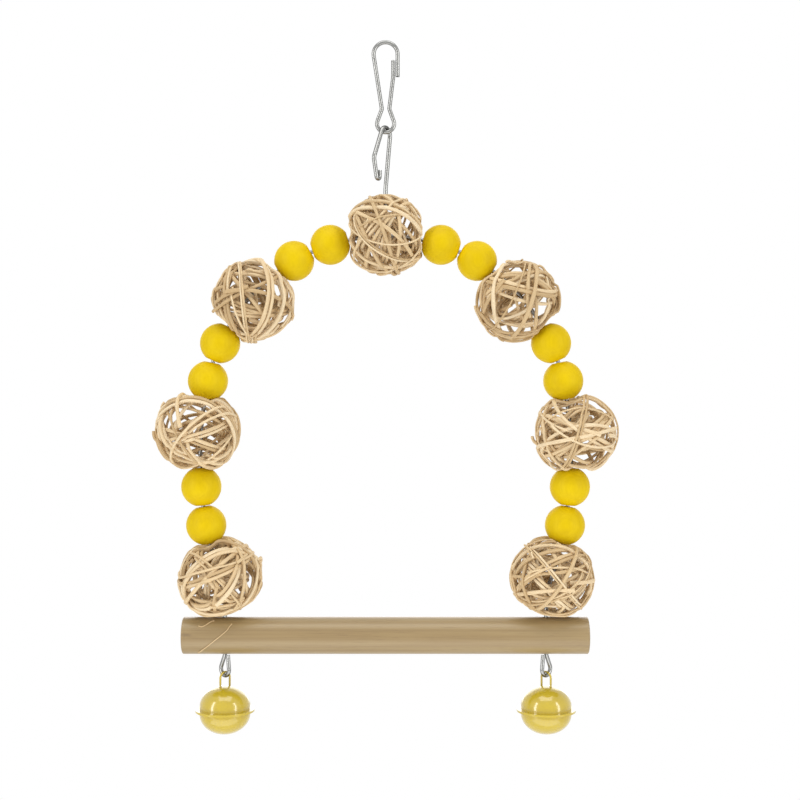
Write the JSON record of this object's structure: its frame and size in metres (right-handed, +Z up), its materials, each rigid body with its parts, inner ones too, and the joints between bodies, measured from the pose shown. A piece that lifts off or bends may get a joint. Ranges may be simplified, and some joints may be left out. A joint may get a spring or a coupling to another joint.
{
  "type": "bird swing",
  "caption": "Hanging perch for a cage bird: a wire arch strung with wooden beads and rattan balls, a dowel perch, jingle bells below and a snap hook above.",
  "frame": {"origin": "top of the inside of the snap hook's bow, where the bar that the swing hangs from lies", "axes": "+Z up, +X along the perch to the right, +Y away from the viewer, front to back through the arch"},
  "size_m": [0.1678, 0.03, 0.26],
  "materials": {
    "spring_steel": "bright nickel-plated wire",
    "perch_wood": "plain sanded dowel, open grain along its length",
    "bead_paint": "satin yellow stain on turned wood",
    "rattan": "bare dry vine",
    "bell_lacquer": "glossy yellow lacquer on pressed steel",
    "pellet_steel": "bare steel"
  },
  "bodies": {
    "hook": {"snap_hook": "spring_steel"},
    "gate": {"snap_hook_gate": "spring_steel"},
    "hanger": {"hanger_eye": "spring_steel", "rattan_ball_4": "rattan"},
    "arch": {"arch_wire": "spring_steel", "perch": "perch_wood"},
    "bead_1": {"bead_1": "bead_paint"},
    "bead_2": {"bead_2": "bead_paint"},
    "bead_3": {"bead_3": "bead_paint"},
    "bead_4": {"bead_4": "bead_paint"},
    "bead_5": {"bead_5": "bead_paint"},
    "bead_6": {"bead_6": "bead_paint"},
    "bead_7": {"bead_7": "bead_paint"},
    "bead_8": {"bead_8": "bead_paint"},
    "bead_9": {"bead_9": "bead_paint"},
    "bead_10": {"bead_10": "bead_paint"},
    "bead_11": {"bead_11": "bead_paint"},
    "bead_12": {"bead_12": "bead_paint"},
    "rattan_ball_1": {"rattan_ball_1": "rattan"},
    "rattan_ball_2": {"rattan_ball_2": "rattan"},
    "rattan_ball_3": {"rattan_ball_3": "rattan"},
    "rattan_ball_5": {"rattan_ball_5": "rattan"},
    "rattan_ball_6": {"rattan_ball_6": "rattan"},
    "rattan_ball_7": {"rattan_ball_7": "rattan"},
    "left_bell": {"left_bell_upper": "bell_lacquer", "left_bell_lower": "bell_lacquer", "left_bell_eyelet": "bell_lacquer"},
    "left_pellet": {"left_bell_pellet": "pellet_steel"},
    "right_bell": {"right_bell_upper": "bell_lacquer", "right_bell_lower": "bell_lacquer", "right_bell_eyelet": "bell_lacquer"},
    "right_pellet": {"right_bell_pellet": "pellet_steel"}
  },
  "joints": [
    {"name": "gate_flex", "type": "hinge", "parent": "hook", "child": "gate", "pos_m": [0.00145, 0, -0.024], "axis": [0, -1, 0], "range_deg": [0, 14], "stiffness_Nm_per_rad": 0.25},
    {"name": "side_swing", "type": "hinge", "parent": "hook", "child": "hanger", "pos_m": [0, 0, -0.0298], "axis": [0, 1, 0], "range_deg": [-35, 35]},
    {"name": "front_swing", "type": "hinge", "parent": "hanger", "child": "arch", "pos_m": [0, 0, -0.07198], "axis": [1, 0, 0], "range_deg": [-60, 60]},
    {"name": "bead_1_spin", "type": "hinge", "parent": "arch", "child": "bead_1", "pos_m": [-0.06724, 0, -0.18031], "axis": [-0.1774, 0, 0.9841], "continuous": true},
    {"name": "bead_2_spin", "type": "hinge", "parent": "arch", "child": "bead_2", "pos_m": [-0.06909, 0, -0.16587], "axis": [-0.0764, 0, 0.9971], "continuous": true},
    {"name": "bead_3_spin", "type": "hinge", "parent": "arch", "child": "bead_3", "pos_m": [-0.06659, 0, -0.12621], "axis": [0.2024, 0, 0.9793], "continuous": true},
    {"name": "bead_4_spin", "type": "hinge", "parent": "arch", "child": "bead_4", "pos_m": [-0.06203, 0, -0.11213], "axis": [0.4096, 0, 0.9123], "continuous": true},
    {"name": "bead_5_spin", "type": "hinge", "parent": "arch", "child": "bead_5", "pos_m": [-0.03428, 0, -0.08125], "axis": [0.8636, 0, 0.5041], "continuous": true},
    {"name": "bead_6_spin", "type": "hinge", "parent": "arch", "child": "bead_6", "pos_m": [-0.02076, 0, -0.07523], "axis": [0.9523, 0, 0.3053], "continuous": true},
    {"name": "bead_7_spin", "type": "hinge", "parent": "arch", "child": "bead_7", "pos_m": [0.02076, 0, -0.07523], "axis": [0.9523, 0, -0.3053], "continuous": true},
    {"name": "bead_8_spin", "type": "hinge", "parent": "arch", "child": "bead_8", "pos_m": [0.03428, 0, -0.08125], "axis": [0.8636, 0, -0.5041], "continuous": true},
    {"name": "bead_9_spin", "type": "hinge", "parent": "arch", "child": "bead_9", "pos_m": [0.06203, 0, -0.11213], "axis": [0.4096, 0, -0.9123], "continuous": true},
    {"name": "bead_10_spin", "type": "hinge", "parent": "arch", "child": "bead_10", "pos_m": [0.06659, 0, -0.12621], "axis": [0.2024, 0, -0.9793], "continuous": true},
    {"name": "bead_11_spin", "type": "hinge", "parent": "arch", "child": "bead_11", "pos_m": [0.06909, 0, -0.16587], "axis": [-0.0764, 0, -0.9971], "continuous": true},
    {"name": "bead_12_spin", "type": "hinge", "parent": "arch", "child": "bead_12", "pos_m": [0.06724, 0, -0.18031], "axis": [-0.1774, 0, -0.9841], "continuous": true},
    {"name": "rattan_ball_1_spin", "type": "hinge", "parent": "arch", "child": "rattan_ball_1", "pos_m": [-0.06235, 0, -0.19961], "axis": [-0.3123, 0, 0.95], "continuous": true},
    {"name": "rattan_ball_2_spin", "type": "hinge", "parent": "arch", "child": "rattan_ball_2", "pos_m": [-0.06922, 0, -0.14596], "axis": [0.0628, 0, 0.998], "continuous": true},
    {"name": "rattan_ball_3_spin", "type": "hinge", "parent": "arch", "child": "rattan_ball_3", "pos_m": [-0.05057, 0, -0.09452], "axis": [0.6685, 0, 0.7437], "continuous": true},
    {"name": "rattan_ball_5_spin", "type": "hinge", "parent": "arch", "child": "rattan_ball_5", "pos_m": [0.05057, 0, -0.09452], "axis": [0.6685, 0, -0.7437], "continuous": true},
    {"name": "rattan_ball_6_spin", "type": "hinge", "parent": "arch", "child": "rattan_ball_6", "pos_m": [0.06922, 0, -0.14596], "axis": [0.0628, 0, -0.998], "continuous": true},
    {"name": "rattan_ball_7_spin", "type": "hinge", "parent": "arch", "child": "rattan_ball_7", "pos_m": [0.06235, 0, -0.19961], "axis": [-0.3123, 0, -0.95], "continuous": true},
    {"name": "left_bell_swing", "type": "hinge", "parent": "arch", "child": "left_bell", "pos_m": [-0.06021, 0, -0.23752], "axis": [-0.7071, 0.7071, 0], "range_deg": [-55, 55]},
    {"name": "left_pellet_roll", "type": "hinge", "parent": "left_bell", "child": "left_pellet", "pos_m": [-0.06021, 0, -0.24952], "axis": [1, 0, 0], "range_deg": [-40, 40]},
    {"name": "right_bell_swing", "type": "hinge", "parent": "arch", "child": "right_bell", "pos_m": [0.06021, 0, -0.23752], "axis": [0.7071, 0.7071, 0], "range_deg": [-55, 55]},
    {"name": "right_pellet_roll", "type": "hinge", "parent": "right_bell", "child": "right_pellet", "pos_m": [0.06021, 0, -0.24952], "axis": [1, 0, 0], "range_deg": [-40, 40]}
  ]
}
